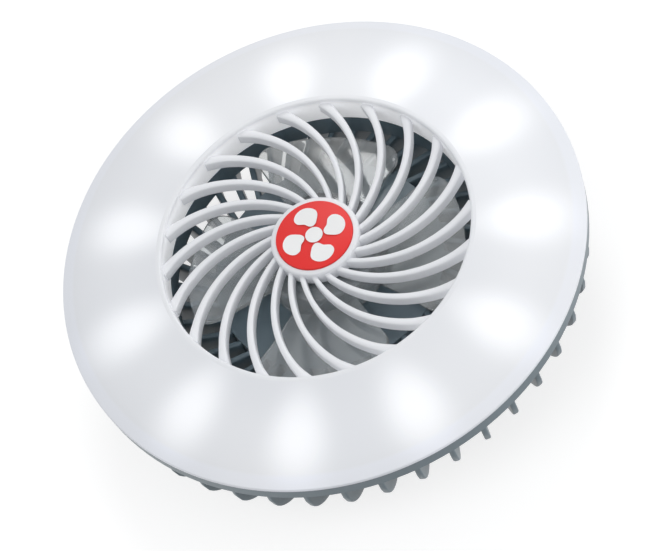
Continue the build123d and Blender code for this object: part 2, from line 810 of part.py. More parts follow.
# ------------------------------------------------------------------ port flap
def make_port_flap():
    """The soft flap; its inner edge at the bend line is bevelled, so that it can swing right out."""
    face = pocket_face() + 0.05
    half = flap_height / 2
    plate = block((face, face + flap_thickness), (-flap_width / 2 + 0.02, flap_width / 2),
                  (port_middle - half, port_middle + half))
    plate = fillet(plate.faces().sort_by(Axis.Y)[-1].edges().filter_by(Axis.X), 1.6)
    bend = plate.faces().sort_by(Axis.Y)[0].edges().filter_by(Axis.Z).sort_by(Axis.X)[0]
    plate = chamfer(bend, flap_thickness - 0.05)
    tongue_y = port_width / 2 - 0.2
    tongue_z = port_height / 2 - 0.2
    tongue = block((face - flap_tongue, face + 0.1), (-tongue_y, tongue_y),
                   (port_middle - tongue_z, port_middle + tongue_z))
    return plate + tongue


def make_flap_anchor():
    face = pocket_face() + 0.05
    half = flap_height / 2
    foot = block((face, face + flap_thickness), (-flap_width / 2 - strap_foot, -flap_width / 2),
                 (port_middle - half, port_middle + half))
    plug = Pos(hub_bore - 2, -flap_width / 2 - strap_foot / 2, port_middle) * Rot(0, 90, 0) * \
        extrude(Circle(anchor_radius() - 0.05), face - hub_bore + 2.1)
    return foot + plug


# ------------------------------------------------------------------ assembly
def make_parts():
    buttons = button_places()
    return {
        "back_shell": make_back_shell(),
        "back_fins": make_back_fins(),
        "battery_housing": make_battery_housing(),
        "rear_cover": make_rear_cover(),
        "diffuser_ring": make_diffuser_ring(),
        "front_grille": make_front_grille(),
        "hub_badge": make_hub_badge(),
        "led_board": make_led_board(),
        "led_chips": make_leds(),
        "cover_screws": make_cover_screws(),
        "motor_can": make_motor_can(),
        "motor_end_cap": make_motor_end_cap(),
        "motor_terminals": make_motor_terminals(),
        "motor_bush": make_motor_bush(),
        "motor_magnet": make_motor_magnet(),
        "motor_armature": make_motor_armature(),
        "motor_shaft": make_motor_shaft(),
        "rotor": make_rotor(),
        "battery_cells": make_battery_cells(),
        "cell_tabs": make_cell_tabs(),
        "cell_pad": make_cell_pad(),
        "hanging_hook": make_hanging_hook(),
        "hook_pin": make_hook_pin(),
        "control_board": make_control_board(),
        "board_parts": make_board_parts(),
        "switch_bodies": make_switch_bodies(),
        "fan_plunger": make_plunger(buttons["fan"]),
        "light_plunger": make_plunger(buttons["light"]),
        "fan_button": make_button(buttons["fan"]),
        "light_button": make_button(buttons["light"]),
        "usb_socket": make_usb_socket(),
        "port_flap": make_port_flap(),
        "flap_anchor": make_flap_anchor(),
    }


def main():
    os.makedirs("parts", exist_ok=True)
    for name, part in make_parts().items():
        export_step(Pos(0, 0, -foot_bottom) * part, f"parts/{name}.step")


main()
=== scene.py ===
import json
import math

import bpy
from mathutils import Matrix, Vector


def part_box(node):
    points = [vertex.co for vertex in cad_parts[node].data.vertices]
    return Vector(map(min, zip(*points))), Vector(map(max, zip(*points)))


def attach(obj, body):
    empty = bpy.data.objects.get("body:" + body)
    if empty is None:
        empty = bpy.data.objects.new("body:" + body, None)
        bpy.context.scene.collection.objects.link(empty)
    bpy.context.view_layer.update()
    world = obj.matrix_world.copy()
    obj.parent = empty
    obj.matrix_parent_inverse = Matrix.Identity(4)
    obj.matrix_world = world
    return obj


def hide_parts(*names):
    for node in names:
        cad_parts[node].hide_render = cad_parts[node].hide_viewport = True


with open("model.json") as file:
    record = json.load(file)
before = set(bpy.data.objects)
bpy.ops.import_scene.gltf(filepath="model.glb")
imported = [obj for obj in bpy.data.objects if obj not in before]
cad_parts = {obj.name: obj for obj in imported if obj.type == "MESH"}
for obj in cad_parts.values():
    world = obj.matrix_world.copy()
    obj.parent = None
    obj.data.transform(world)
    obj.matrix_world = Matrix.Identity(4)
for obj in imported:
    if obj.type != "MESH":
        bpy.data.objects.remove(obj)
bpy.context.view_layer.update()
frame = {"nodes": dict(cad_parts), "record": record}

# lengths are in metres, and angles in degrees unless they go through math.radians
MM = 0.001

# ---------------------------------------------------------------- sizes read from the frame
# the gap round the collar, and how far a fin reaches into the wall of the battery's hub
collar_seam = 0.05 * MM
fin_seat = 0.3 * MM
rim_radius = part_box("diffuser_ring")[1][0]
rim_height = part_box("diffuser_ring")[0][2]
lip_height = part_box("front_grille")[1][2]
collar_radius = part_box("front_grille")[1][0] - collar_seam
badge_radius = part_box("hub_badge")[1][0]
badge_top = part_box("hub_badge")[1][2]
badge_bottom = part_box("hub_badge")[0][2]
rotor_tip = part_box("rotor")[1][0]

# ---------------------------------------------------------------- rings and welds
wide_ring_segments = 256
small_ring_segments = 128
weld_distance = 1e-6

# ---------------------------------------------------------------- sizes of the lamp cover
crease_radius = rim_radius - 4.8 * MM
crease_height = rim_height + 3.6 * MM
skirt_height = rim_height + 1.2 * MM
skirt_foot_rounding = 0.3 * MM
shoulder_in = 0.25 * MM
shoulder_up = 0.35 * MM
cover_wall = 1.8 * MM
inner_crease_step = 0.4 * MM
dome_bulge = 0.8 * MM
dome_steps = 14

# ---------------------------------------------------------------- sizes of the white grille
inlet_radius = 58.8 * MM
lip_rounding = 0.9 * MM
lip_steps = 8
lip_drop = 0.1 * MM
collar_depth = 2.0 * MM
rib_count = 22
rib_width = 1.9 * MM
# shares of a rib's length, and its width there in widths of its root
rib_growth = ((0.0, 1.0), (0.5, 1.22), (0.86, 1.5), (1.0, 2.1))
rib_top = rim_height + 8.6 * MM
rib_depth = 4.6 * MM
rib_rounding = 0.7 * MM
rib_rounding_segments = 4
rib_steps = 30
# radius and angle of three points of a rib's middle line
rib_root = (15.8 * MM, -84.0)
rib_middle = (37.0 * MM, -56.2)
rib_tip = (59.5 * MM, -33.7)
hub_radius = 16.8 * MM
hub_top = rim_height + 10.0 * MM
hub_floor = 1.8 * MM
hub_recess_radius = 14.8 * MM
hub_bore = 2 * MM
# the softened upper edge of both hubs
edge_run = 0.8 * MM
edge_drop = 0.25 * MM

# ---------------------------------------------------------------- sizes of the badge and its sign
badge_play = 0.15 * MM
badge_centre = 0.2 * MM
badge_centre_reach = 0.3 * MM
# steps inwards and down at the badge's edge
badge_edge = ((0.0, 0.3 * MM), (0.1 * MM, 0.08 * MM), (0.3 * MM, 0.0))
print_thickness = 0.05 * MM
badge_face = badge_top - print_thickness
sign_disc_radius = 3.3 * MM
sign_disc_segments = 64
petal_count = 4
petal_segments = 48
petal_radius = 4.9 * MM
petal_offset = -0.5 * MM
petal_place = 7.5 * MM
petal_root = 3.75 * MM
petal_root_depth = 1.5 * MM
petal_root_narrowing = 0.58
petal_lean = 0.9 * MM
petal_narrowing_reach = 6 * MM
petal_pull_reach = 4 * MM
petal_turn = math.radians(-5)

# ---------------------------------------------------------------- sizes of the fins on the back
fin_count = 44
fin_width = 2.3 * MM
fin_rounding = 0.65 * MM
fin_rounding_segments = 3
fin_edge_angle = 60.0
fin_tip = rim_radius - 2.0 * MM
fin_tip_angle = -85.4
fin_lean = 23.0
fin_corner = 14.0 * MM
fin_top = rim_height - 12.1 * MM
fin_bottom = rim_height - 26.0 * MM
fin_columns = 30
fin_rows = 4
# share of a fin's grid below the vent, and crowding of the rest towards the tip
fin_hub_share = 0.2
fin_crowding = 0.35
vent_outer = 60.8 * MM
vent_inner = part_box("battery_housing")[1][0] - fin_seat
dish_slope = 0.175

# ---------------------------------------------------------------- sizes of the rear cover's screws
screw_circle = 35.6 * MM
screw_angles = (45.0, 135.0, 270.0)
recess_length = 2.7 * MM
recess_width = 0.75 * MM
recess_depth = 0.9 * MM
# how the two bars of a cross are turned
recess_turns = (20.0, 110.0)

# ---------------------------------------------------------------- sizes of the rotor
rotor_hub_radius = 23.5 * MM
rotor_hub_wall = 1.5 * MM
rotor_hub_top = rim_height + 2.3 * MM
rotor_hub_under = rim_height + 0.9 * MM
rotor_hub_bottom = rim_height - 10.4 * MM
rotor_boss_radius = 3.2 * MM
rotor_boss_bottom = rim_height - 0.3 * MM
shaft_radius = 1.0 * MM
bore_play = 0.02 * MM
blade_count = 4
blade_start = -82.0
blade_root = 22.9 * MM
blade_sweep = 64.0
blade_tip_sweep = 68.0
blade_widening_power = 3
blade_corner = 7.5 * MM
blade_nose = 10.0 * MM
blade_thickness = 1.6 * MM
blade_rounding = 0.35 * MM
blade_rounding_segments = 2
blade_edge_angle = 50.0
blade_middle = rim_height - 4.9 * MM
blade_rise = 5.5 * MM
blade_hollow = 2.5 * MM
blade_columns = 44
blade_rows = 18

# ---------------------------------------------------------------- painted glow of the lamp chips
chip_count = 11
chip_circle = 77.0 * MM
chip_pitch = 2 * math.pi / chip_count
first_chip = math.radians(-87.3)
glow_half_width = 10.5 * MM
glow_half_length = 16.5 * MM
glow_shift = 5.5 * MM
glow_power = 1.35
oval_strength = 0.23
band_strength = 0.04
base_strength = 0.045
# painted light: a faint bluish emission lifts the skirt outside the crease, where the steeper
# strip catches more light
skirt_painted_light_strength = 0.035
skirt_painted_light_colour = (0.80, 0.84, 1.0, 1)
# where one strength of painted light goes over into the other: radii on the cover, heights on the
# collar
skirt_painted_light_fade = (crease_radius - 0.5 * MM, crease_radius + 0.7 * MM)
collar_painted_glow_fade = (lip_height - 3.0 * MM, lip_height - 0.2 * MM)
collar_painted_glow = (0.30, 0.05)
white = (1.0, 1.0, 1.0, 1)

# ---------------------------------------------------------------- moulded grain and mottling
grain_detail = 3.0
grain_strength = 0.5
mottle_span = (0.35, 0.65)

# ---------------------------------------------------------------- stage, lamps and camera
floor_size = 12
floor_drop = 0.0002
floor_colour = (0.45, 0.45, 0.45, 1)
floor_shine = 0.72
world_colour = (0.97, 0.985, 1.0, 1)
world_strength = 0.45
# name, place, target, width in metres, power in watts
lamps = (
    ("key", (-0.9, -0.5, 1.6), (0, 0, 0.03), 1.2, 7),
    ("fill", (1.1, -0.9, 1.0), (0, 0, 0.03), 1.4, 4),
    ("back", (0.40, 0.99, 1.18), (0, 0, 0.03), 0.7, 6.5),
    ("low_side", (1.3, -0.35, 0.22), (0, 0, 0.02), 0.8, 6),
)
camera_lens = 193.85
camera_sensor = 36.0
camera_clip = 0.01
camera_right = (0.8877, -0.3824, -0.2564)
camera_forward = (0.0, 0.5568, -0.8306)
camera_place = (-0.0033, -0.72785, 1.11388)

# ---------------------------------------------------------------- smooth shading
# edges sharper than these angles, in degrees, stay sharp
cover_sharpness = 28.0
collar_sharpness = 50.0
rib_sharpness = 40.0
hub_sharpness = 50.0
badge_sharpness = 40.0
fin_sharpness = 45.0
blade_sharpness = 35.0
cap_sharpness = 40.0
screw_sharpness = 30.0
shell_sharpness = 15.0


# ---------------------------------------------------------------- small helpers
def polar(radius, degrees, height=0.0):
    """A point by its radius, angle and height."""
    angle = math.radians(degrees)
    return Vector((radius * math.cos(angle), radius * math.sin(angle), height))


def only(obj):
    """Selects one object and nothing else."""
    if bpy.context.object and bpy.context.object.mode != "OBJECT":
        bpy.ops.object.mode_set(mode="OBJECT")
    bpy.ops.object.select_all(action="DESELECT")
    obj.select_set(True)
    bpy.context.view_layer.objects.active = obj


def added(primitive, **settings):
    """Adds a primitive and leaves it as the only selected object."""
    bpy.ops.object.select_all(action="DESELECT")
    primitive(**settings)
    obj = bpy.context.object
    only(obj)
    return obj


def apply_place(obj):
    """Moves an object's place, turn and scale into its mesh."""
    only(obj)
    bpy.ops.object.transform_apply(location=True, rotation=True, scale=True)


def pick(obj, wanted):
    """Opens an object in edit mode with only those vertices selected that are wanted."""
    only(obj)
    bpy.ops.object.mode_set(mode="EDIT")
    bpy.ops.mesh.select_mode(type="VERT")
    bpy.ops.mesh.select_all(action="DESELECT")
    bpy.ops.object.mode_set(mode="OBJECT")
    for vertex in obj.data.vertices:
        vertex.select = wanted(vertex.co)
    bpy.ops.object.mode_set(mode="EDIT")


def settle(obj, name, body, key):
    """Applies a new piece's place and gives it its name, finish, body and slot."""
    apply_place(obj)
    obj.name = name
    obj.data.name = name
    obj.data.materials.clear()
    obj.data.materials.append(finishes[key])
    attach(obj, body)


def soften(obj, degrees):
    """Smooth shading, apart from edges that are sharper than the angle."""
    only(obj)
    bpy.ops.object.shade_smooth_by_angle(angle=math.radians(degrees))


def tidy_normals(obj):
    """Welds doubled vertices and turns all faces outwards."""
    only(obj)
    bpy.ops.object.mode_set(mode="EDIT")
    bpy.ops.mesh.select_all(action="SELECT")
    bpy.ops.mesh.remove_doubles(threshold=weld_distance)
    bpy.ops.mesh.normals_make_consistent(inside=False)
    bpy.ops.object.mode_set(mode="OBJECT")


def lathe(profile, segments):
    """A closed ring: a circle drawn out step by step along a profile of radii and heights."""
    radius, height = profile[0]
    ring = added(bpy.ops.mesh.primitive_circle_add, vertices=segments, radius=radius,
                 location=(0, 0, height))
    apply_place(ring)
    bpy.ops.object.mode_set(mode="EDIT")
    bpy.ops.mesh.select_mode(type="VERT")
    bpy.ops.mesh.select_all(action="SELECT")
    for next_radius, next_height in list(profile[1:]) + [profile[0]]:
        bpy.ops.mesh.extrude_edges_move()
        grow = next_radius / radius
        bpy.ops.transform.resize(value=(grow, grow, 1), center_override=(0, 0, height))
        bpy.ops.transform.translate(value=(0, 0, next_height - height))
        radius, height = next_radius, next_height
    bpy.ops.object.mode_set(mode="OBJECT")
    tidy_normals(ring)
    return ring


def broken_edge(radius, top):
    """The last points of a profile that ends in a softened upper edge."""
    return [(radius, top - edge_run), (radius - edge_drop, top - edge_drop),
            (radius - edge_run, top)]


def draw_sheet(columns, rows, point):
    """A grid whose points are placed by a function of their shares of both its sides."""
    sheet = added(bpy.ops.mesh.primitive_grid_add, x_subdivisions=columns, y_subdivisions=rows,
                  size=1)
    for vertex in sheet.data.vertices:
        vertex.co = point(vertex.co.x + 0.5, vertex.co.y + 0.5)
    return sheet


def thicken(sheet, thickness, rounding, segments, edge_angle, clamp):
    """Gives a sheet its thickness, half to each side, and rounds its edges."""
    tidy_normals(sheet)
    wall = sheet.modifiers.new("thickness", "SOLIDIFY")
    wall.thickness = thickness
    wall.offset = 0.0
    edge = sheet.modifiers.new("rounding", "BEVEL")
    edge.width = rounding
    edge.segments = segments
    edge.limit_method = "ANGLE"
    edge.angle_limit = math.radians(edge_angle)
    edge.use_clamp_overlap = clamp
    only(sheet)
    bpy.ops.object.modifier_apply(modifier="thickness")
    bpy.ops.object.modifier_apply(modifier="rounding")
    tidy_normals(sheet)


def copies_around(obj, count):
    """Joins an object with copies of it, evenly spaced about the fan's axis."""
    made = [obj]
    for step in range(1, count):
        twin = obj.copy()
        twin.data = obj.data.copy()
        bpy.context.scene.collection.objects.link(twin)
        twin.data.transform(Matrix.Rotation(step * 2 * math.pi / count, 4, "Z"))
        made.append(twin)
    only(obj)
    for twin in made:
        twin.select_set(True)
    bpy.ops.object.join()


def circle_through(a, b, c):
    """Centre of the circle through three points of the plan."""
    d = 2 * (a.x * (b.y - c.y) + b.x * (c.y - a.y) + c.x * (a.y - b.y))
    sa, sb, sc = a.x ** 2 + a.y ** 2, b.x ** 2 + b.y ** 2, c.x ** 2 + c.y ** 2
    x = (sa * (b.y - c.y) + sb * (c.y - a.y) + sc * (a.y - b.y)) / d
    y = (sa * (c.x - b.x) + sb * (a.x - c.x) + sc * (b.x - a.x)) / d
    return Vector((x, y, 0))


# ---------------------------------------------------------------- materials
def new_material(name):
    """A material with nodes, its nodes and its links."""
    material = bpy.data.materials.new(name)
    material.use_nodes = True
    return material, material.node_tree.nodes, material.node_tree.links


def add_grain(nodes, links, shader, scale, depth):
    """Fine moulded grain: noise in object space as a bump."""
    place = nodes.new("ShaderNodeTexCoord")
    noise = nodes.new("ShaderNodeTexNoise")
    noise.inputs["Scale"].default_value = scale
    noise.inputs["Detail"].default_value = grain_detail
    bump = nodes.new("ShaderNodeBump")
    bump.inputs["Strength"].default_value = grain_strength
    bump.inputs["Distance"].default_value = depth
    links.new(place.outputs["Object"], noise.inputs["Vector"])
    links.new(noise.outputs["Fac"], bump.inputs["Height"])
    links.new(bump.outputs["Normal"], shader.inputs["Normal"])
    return place


def vary(nodes, links, place, shader, low, high, scale):
    """Slow, slight change of colour over the surface."""
    cloud = nodes.new("ShaderNodeTexNoise")
    cloud.inputs["Scale"].default_value = scale
    ramp = nodes.new("ShaderNodeValToRGB")
    for stop, position, colour in zip(ramp.color_ramp.elements, mottle_span, (low, high)):
        stop.position = position
        stop.color = (*colour, 1)
    links.new(place.outputs["Object"], cloud.inputs["Vector"])
    links.new(cloud.outputs["Fac"], ramp.inputs["Fac"])
    links.new(ramp.outputs["Color"], shader.inputs["Base Color"])


def moulded(name, low, high, roughness, grain=900.0, depth=0.00004, mottle=25.0):
    """Injection-moulded plastic or rubber between its darker and its paler colour."""
    material, nodes, links = new_material(name)
    shader = nodes["Principled BSDF"]
    shader.inputs["Roughness"].default_value = roughness
    place = add_grain(nodes, links, shader, grain, depth)
    vary(nodes, links, place, shader, low, high, mottle)
    return material


def metal(name, low, high, roughness):
    """Bare metal with a fine, faint grain."""
    material = moulded(name, low, high, roughness, grain=600.0, depth=0.00002, mottle=60.0)
    material.node_tree.nodes["Principled BSDF"].inputs["Metallic"].default_value = 1.0
    return material


def number(nodes, links, operation, first, second=None):
    """A Math node on sockets or plain numbers; returns its output."""
    node = nodes.new("ShaderNodeMath")
    node.operation = operation
    for socket, value in zip(node.inputs, (first, second)):
        if value is None:
            continue
        if isinstance(value, (int, float)):
            socket.default_value = value
        else:
            links.new(value, socket)
    return node.outputs[0]


def between(nodes, links, value, span, ends):
    """Goes from one end value to the other while the value crosses the span."""
    node = nodes.new("ShaderNodeMapRange")
    node.inputs["From Min"].default_value, node.inputs["From Max"].default_value = span
    node.inputs["To Min"].default_value, node.inputs["To Max"].default_value = ends
    links.new(value, node.inputs["Value"])
    return node.outputs["Result"]


def parts_of(nodes, links, vector):
    """X, Y and Z of a vector."""
    split = nodes.new("ShaderNodeSeparateXYZ")
    links.new(vector, split.inputs[0])
    return split.outputs["X"], split.outputs["Y"], split.outputs["Z"]


def distance_in_plan(nodes, links, x, y):
    """Distance from the fan's axis."""
    squares = number(nodes, links, "ADD", number(nodes, links, "MULTIPLY", x, x),
                     number(nodes, links, "MULTIPLY", y, y))
    return number(nodes, links, "SQRT", squares)


def glow_pattern(nodes, links, place):
    """Squared distances, in glow sizes, of a point of the lamp cover from its chip's glow."""
    moved = nodes.new("ShaderNodeMapping")
    moved.inputs["Location"].default_value = (0.0, glow_shift, 0.0)
    links.new(place.outputs["Object"], moved.inputs["Vector"])
    x, y, _ = parts_of(nodes, links, moved.outputs["Vector"])
    angle = number(nodes, links, "ARCTAN2", y, x)
    turned = number(nodes, links, "SUBTRACT", angle, first_chip - chip_pitch / 2)
    within = number(nodes, links, "FLOORED_MODULO", turned, chip_pitch)
    local = number(nodes, links, "SUBTRACT", within, chip_pitch / 2)
    outwards = number(nodes, links, "SUBTRACT", distance_in_plan(nodes, links, x, y), chip_circle)
    sideways = number(nodes, links, "MULTIPLY", local, chip_circle)
    along = number(nodes, links, "DIVIDE", outwards, glow_half_length)
    across = number(nodes, links, "DIVIDE", sideways, glow_half_width)
    return (number(nodes, links, "MULTIPLY", along, along),
            number(nodes, links, "MULTIPLY", across, across))


def fading(nodes, links, distance, height):
    """A bell that falls off with a squared distance."""
    bell = number(nodes, links, "EXPONENT", number(nodes, links, "MULTIPLY", distance, -1.0))
    return number(nodes, links, "MULTIPLY", bell, height)


def make_lamp_cover_finish():
    """Milky plastic with a painted glow of the chips in soft ovals, and painted bluish light
    outside the crease.
    """
    material, nodes, links = new_material("milky_lamp_cover")
    shader = nodes["Principled BSDF"]
    shader.inputs["Roughness"].default_value = 0.38
    shader.inputs["Specular IOR Level"].default_value = 0.4
    place = add_grain(nodes, links, shader, scale=500.0, depth=0.00002)
    vary(nodes, links, place, shader, (0.74, 0.755, 0.79), (0.78, 0.79, 0.815), scale=12.0)
    along, across = glow_pattern(nodes, links, place)
    distance = number(nodes, links, "ADD", along, across)
    edged = number(nodes, links, "POWER", distance, glow_power)
    ovals = fading(nodes, links, edged, oval_strength)
    band = number(nodes, links, "ADD", fading(nodes, links, along, band_strength), base_strength)
    lit = number(nodes, links, "ADD", ovals, band)
    x, y, _ = parts_of(nodes, links, place.outputs["Object"])
    # painted light: the skirt outside the crease is made lighter and bluish
    skirt = between(nodes, links, distance_in_plan(nodes, links, x, y), skirt_painted_light_fade, (0.0, 1.0))
    skirt_painted_light = number(nodes, links, "MULTIPLY", skirt, skirt_painted_light_strength)
    links.new(number(nodes, links, "ADD", lit, skirt_painted_light), shader.inputs["Emission Strength"])
    painted_light_colour = nodes.new("ShaderNodeMix")
    painted_light_colour.data_type = "RGBA"
    painted_light_colour.inputs["A"].default_value = white
    painted_light_colour.inputs["B"].default_value = skirt_painted_light_colour
    links.new(skirt, painted_light_colour.inputs["Factor"])
    links.new(painted_light_colour.outputs["Result"], shader.inputs["Emission Color"])
    return material


def make_collar_finish():
    """The grille's white plastic, with a painted glow that stands in for lamp light coming through
    the collar's wall from the lamp space behind it.
    """
    material = moulded("lit_collar_plastic", (0.75, 0.765, 0.795), (0.78, 0.79, 0.815), 0.42)
    nodes, links = material.node_tree.nodes, material.node_tree.links
    shader = nodes["Principled BSDF"]
    place = nodes.new("ShaderNodeTexCoord")
    _, _, height = parts_of(nodes, links, place.outputs["Object"])
    # painted glow, strongest low on the wall and faint at the lip
    wall = between(nodes, links, height, collar_painted_glow_fade, collar_painted_glow)
    links.new(wall, shader.inputs["Emission Strength"])
    shader.inputs["Emission Color"].default_value = white
    return material


def make_clear_finish():
    """Clear rotor plastic, with the slight waviness and haze of a moulding."""
    material, nodes, links = new_material("clear_rotor_plastic")
    shader = nodes["Principled BSDF"]
    shader.inputs["Roughness"].default_value = 0.06
    shader.inputs["IOR"].default_value = 1.49
    shader.inputs["Transmission Weight"].default_value = 0.78
    place = add_grain(nodes, links, shader, scale=45.0, depth=0.00002)
    vary(nodes, links, place, shader, (0.82, 0.86, 0.88), (0.90, 0.91, 0.90), scale=14.0)
    return material


def printed(name, low, high):
    """Smooth, even colour of a badge or a print."""
    return moulded(name, low, high, roughness=0.5, grain=1400.0, depth=0.00001, mottle=40.0)


# every finish: its darker and its paler colour, then its roughness
finishes = {
    "milky": make_lamp_cover_finish(),
    "collar": make_collar_finish(),
    "clear": make_clear_finish(),
    "white": moulded("white_grille_plastic", (0.80, 0.81, 0.84), (0.84, 0.85, 0.875), 0.42),
    "slate": moulded("slate_shell_plastic", (0.114, 0.161, 0.190), (0.137, 0.187, 0.220), 0.36),
    "hook": moulded("slate_hook_nylon", (0.10, 0.13, 0.15), (0.12, 0.155, 0.175), 0.45),
    "red": printed("red_badge_plastic", (0.77, 0.011, 0.009), (0.81, 0.015, 0.012)),
    "print": printed("white_print", (0.86, 0.86, 0.86), (0.90, 0.90, 0.90)),
    "button": moulded("soft_grey_button", (0.07, 0.08, 0.09), (0.085, 0.095, 0.105), 0.6),
    "rubber": moulded("slate_flap_rubber", (0.10, 0.13, 0.145), (0.12, 0.15, 0.165), 0.65),
    "white_board": moulded("white_lamp_board", (0.82, 0.83, 0.82), (0.86, 0.87, 0.86), 0.3),
    "green_board": moulded("green_control_board", (0.01, 0.09, 0.03), (0.015, 0.12, 0.04), 0.3),
    "phosphor": moulded("chip_phosphor", (0.85, 0.74, 0.25), (0.90, 0.82, 0.32), 0.5),
    "black": moulded("black_package", (0.012, 0.012, 0.014), (0.02, 0.02, 0.022), 0.5),
    "nylon": moulded("natural_nylon", (0.72, 0.70, 0.62), (0.78, 0.76, 0.68), 0.5),
    "wrap": moulded("blue_cell_wrap", (0.02, 0.13, 0.34), (0.025, 0.16, 0.40), 0.3),
    "foam": moulded("black_foam", (0.012, 0.012, 0.013), (0.03, 0.03, 0.032), 0.95,
                    grain=500.0, depth=0.0002),
    "steel": metal("zinc_plated_steel", (0.60, 0.61, 0.63), (0.68, 0.69, 0.70), 0.28),
    "nickel": metal("nickel_strip", (0.62, 0.60, 0.56), (0.70, 0.68, 0.64), 0.32),
    "bronze": metal("sintered_bronze", (0.48, 0.30, 0.12), (0.56, 0.36, 0.16), 0.45),
    "ferrite": moulded("dark_ferrite", (0.02, 0.02, 0.022), (0.035, 0.035, 0.038), 0.55),
    "windings": metal("copper_and_steel", (0.50, 0.26, 0.12), (0.58, 0.40, 0.28), 0.4),
}

node_finishes = {
    "diffuser_ring": "milky",
    "rotor": "clear",
    "front_grille": "white",
    "back_shell": "slate",
    "back_fins": "slate",
    "battery_housing": "slate",
    "rear_cover": "slate",
    "hanging_hook": "hook",
    "hub_badge": "red",
    "fan_button": "button",
    "light_button": "button",
    "port_flap": "rubber",
    "flap_anchor": "rubber",
    "led_board": "white_board",
    "led_chips": "phosphor",
    "control_board": "green_board",
    "board_parts": "black",
    "switch_bodies": "black",
    "fan_plunger": "black",
    "light_plunger": "black",
    "motor_end_cap": "nylon",
    "battery_cells": "wrap",
    "cell_pad": "foam",
    "cover_screws": "steel",
    "motor_can": "steel",
    "motor_shaft": "steel",
    "hook_pin": "steel",
    "usb_socket": "steel",
    "cell_tabs": "nickel",
    "motor_terminals": "nickel",
    "motor_bush": "bronze",
    "motor_magnet": "ferrite",
    "motor_armature": "windings",
}

body_of_node = {node: body for body, nodes in frame["record"]["behaviour"]["bodies"].items()
                for node in nodes}


# ---------------------------------------------------------------- carried-over pieces
def dress_nodes():
    """Every solid of the frame gets its finish."""
    for name, key in node_finishes.items():
        node = frame["nodes"][name]
        if node.material_slots:
            for socket in node.material_slots:
                socket.material = finishes[key]
        else:
            node.data.materials.append(finishes[key])


def level_faces(obj):
    """Lets wide flat faces keep their own shade next to a small rounding."""
    only(obj)
    weighted = obj.modifiers.new("level_faces", "WEIGHTED_NORMAL")
    weighted.keep_sharp = True
    bpy.ops.object.modifier_apply(modifier="level_faces")


def smooth_copy(name):
    """A welded copy of a solid, so that its round faces shade smoothly."""
    node = frame["nodes"][name]
    copy = node.copy()
    copy.data = node.data.copy()
    copy.parent = None
    copy.matrix_world = node.matrix_world
    bpy.context.scene.collection.objects.link(copy)
    only(copy)
    bpy.ops.object.mode_set(mode="EDIT")
    bpy.ops.mesh.select_all(action="SELECT")
    bpy.ops.mesh.remove_doubles(threshold=weld_distance)
    bpy.ops.object.mode_set(mode="OBJECT")
    settle(copy, "smooth_" + name, body_of_node[name], node_finishes[name])
    soften(copy, shell_sharpness)
    level_faces(copy)
    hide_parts(name)
    return copy


# ---------------------------------------------------------------- lamp cover and white grille
def make_lamp_cover():
    """The milky cover: upright skirt, crease, dome up to the inlet lip."""
    top = lip_height - lip_drop
    profile = [(rim_radius - cover_wall, rim_height),
               (rim_radius - skirt_foot_rounding, rim_height),
               (rim_radius, rim_height + skirt_foot_rounding),
               (rim_radius, skirt_height),
               (rim_radius - shoulder_in, skirt_height + shoulder_up)]
    for step in range(dome_steps + 1):
        share = step / dome_steps
        bulge = 4 * dome_bulge * share * (1 - share)
        profile.append((crease_radius + (collar_radius - crease_radius) * share,
                        crease_height + (top - crease_height) * share + bulge))
    profile += [(collar_radius, top - 2 * cover_wall),
                (crease_radius - inner_crease_step, crease_height - cover_wall)]
    cover = lathe(profile, wide_ring_segments)
    settle(cover, "lamp_cover", "housing", "milky")
    soften(cover, cover_sharpness)
    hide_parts("diffuser_ring")


def make_collar():
    """The white inlet collar with its rounded lip."""
    foot = rim_height - collar_depth
    middle_radius = inlet_radius + lip_rounding
    middle_height = lip_height - lip_rounding
    profile = [(collar_radius, foot), (collar_radius, lip_height - lip_drop)]
    for step in range(lip_steps + 1):
        angle = math.radians(90 + step * 90 / lip_steps)
        profile.append((middle_radius + lip_rounding * math.cos(angle),
                        middle_height + lip_rounding * math.sin(angle)))
    profile.append((inlet_radius, foot))
    collar = lathe(profile, wide_ring_segments)
    settle(collar, "inlet_collar", "housing", "collar")
    soften(collar, collar_sharpness)
    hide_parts("front_grille")


def rib_share(share):
    """Width of a rib at a share of its length, in widths of its root."""
    for (before, low), (after, high) in zip(rib_growth, rib_growth[1:]):
        if share <= after:
            return low + (high - low) * (share - before) / (after - before)
    return rib_growth[-1][1]


def make_ribs():
    """Swirling ribs with rounded tops: an upright section drawn out step by step on its arc."""
    root, middle, tip = polar(*rib_root), polar(*rib_middle), polar(*rib_tip)
    centre = circle_through(root, middle, tip)
    start, end = root - centre, tip - centre
    heading = math.atan2(start.y, start.x)
    sweep = math.atan2(end.y, end.x) - heading
    sweep = (sweep + math.pi) % (2 * math.pi) - math.pi
    middle_height = rib_top - rib_depth / 2
    rib = added(bpy.ops.mesh.primitive_plane_add, size=1,
                location=(root.x, root.y, middle_height), rotation=(math.pi / 2, 0, heading))
    rib.scale = (rib_width, rib_depth, 1)
    apply_place(rib)
    pick(rib, lambda place: place.z > middle_height)
    bpy.ops.mesh.bevel(offset=rib_rounding, segments=rib_rounding_segments, affect="VERTICES")
    bpy.ops.mesh.select_all(action="SELECT")
    for step in range(1, rib_steps + 1):
        bpy.ops.mesh.extrude_region_move()
        bpy.ops.transform.rotate(value=-sweep / rib_steps, orient_axis="Z",
                                 center_override=centre)
        angle = heading + sweep * step / rib_steps
        here = centre + Vector((math.cos(angle), math.sin(angle), 0)) * start.length
        grow = rib_share(step / rib_steps) / rib_share((step - 1) / rib_steps)
        bpy.ops.transform.resize(value=(grow, grow, 1),
                                 center_override=(here.x, here.y, middle_height))
    bpy.ops.object.mode_set(mode="OBJECT")
    tidy_normals(rib)
    copies_around(rib, rib_count)
    settle(rib, "grille_ribs", "housing", "white")
    soften(rib, rib_sharpness)
    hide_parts("front_grille")


